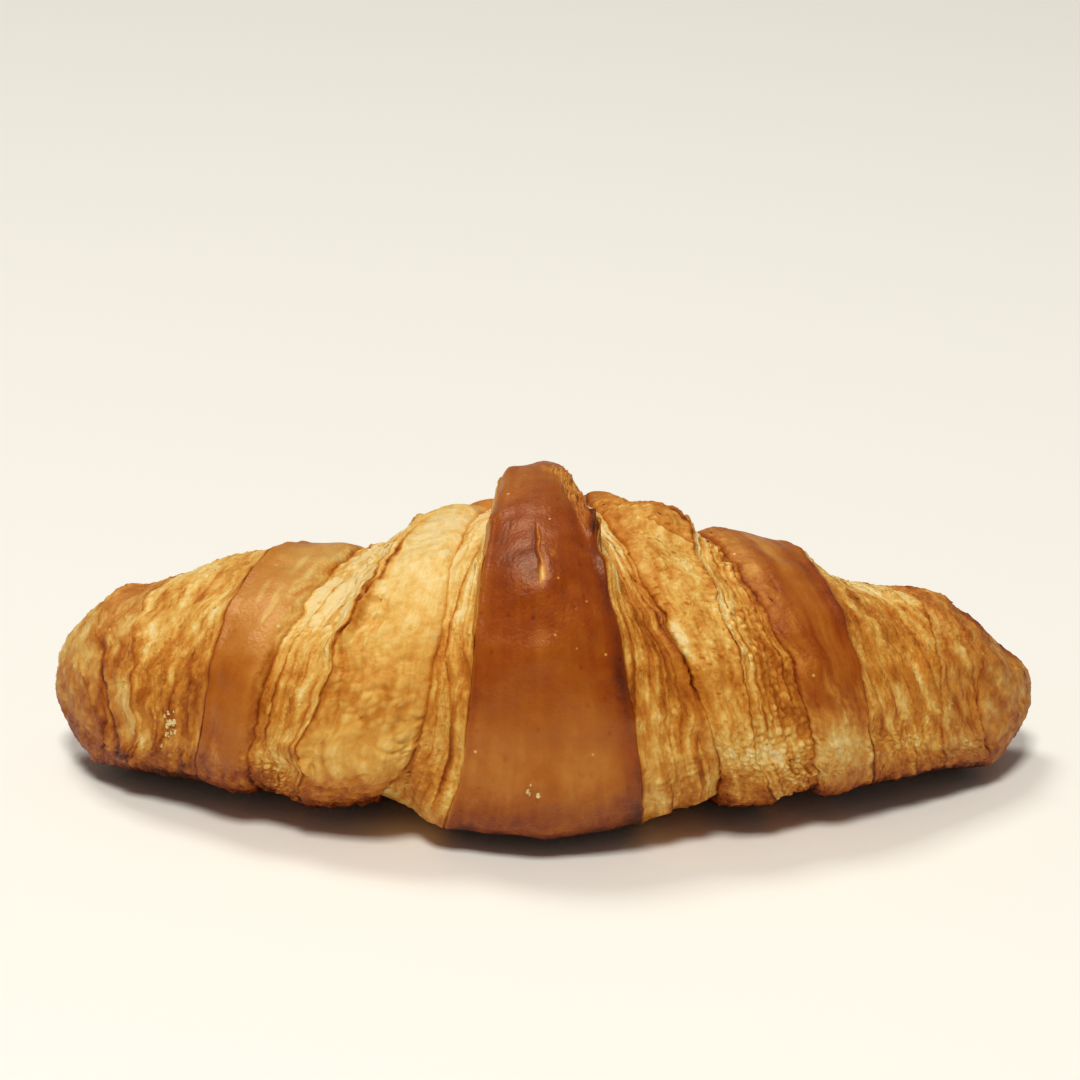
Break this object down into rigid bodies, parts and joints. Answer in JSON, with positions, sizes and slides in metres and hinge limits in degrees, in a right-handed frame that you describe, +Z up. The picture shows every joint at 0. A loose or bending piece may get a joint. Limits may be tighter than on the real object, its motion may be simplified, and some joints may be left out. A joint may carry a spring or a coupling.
{
  "type": "croissant",
  "caption": "Whole baked croissant: a slightly curved roll of laminated dough, stepped by its wraps, with a browned tongue over the middle.",
  "frame": {"origin": "middle of the footprint, on the table", "axes": "+X along the croissant, towards its right tip as shown; -Y towards the side that it shows; +Z up"},
  "size_m": [0.1653, 0.0746, 0.0545],
  "materials": {
    "crust": "egg-washed baked crust, golden brown to red brown, semi-gloss",
    "layers": "open baked layers, pale gold, dry and flaky"
  },
  "bodies": {
    "root": {"croissant": "crust"}
  },
  "joints": []
}
